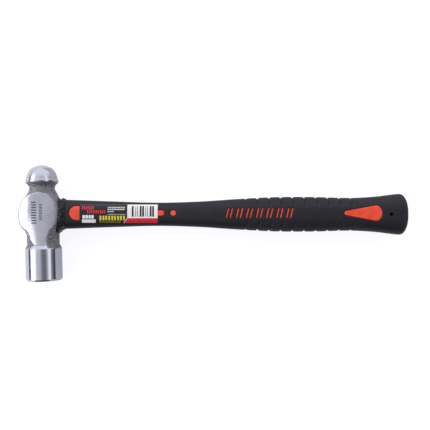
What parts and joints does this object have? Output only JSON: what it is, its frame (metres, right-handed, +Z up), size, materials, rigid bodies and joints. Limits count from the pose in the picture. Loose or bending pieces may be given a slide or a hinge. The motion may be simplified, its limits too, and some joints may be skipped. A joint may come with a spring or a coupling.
{
  "type": "ball peen hammer",
  "caption": "Ball peen hammer with a forged steel head, resin-bonded fibreglass handle, orange inner jacket and black grooved rubber grip with a hang hole.",
  "frame": {"origin": "middle of the underside of the hammer's box, with the hammer lying on its side", "axes": "+X along the handle from the head to the butt, +Y across the handle towards the ball, +Z up through the thickness"},
  "size_m": [0.3232, 0.097, 0.03],
  "materials": {
    "steel": "forged steel, ground and polished on the ball, the cheeks and the poll, rough between them",
    "fibreglass": "pultruded glass fibre and resin",
    "resin": "cured black resin, glossy and lumpy",
    "jacket": "moulded orange polypropylene, satin",
    "rubber": "black thermoplastic rubber, satin, finely stippled",
    "label": null
  },
  "bodies": {
    "root": {"hammer_head": "steel", "handle_core": "fibreglass", "eye_resin": "resin", "handle_jacket": "jacket", "rubber_grip": "rubber", "label_film": "label"}
  },
  "joints": []
}
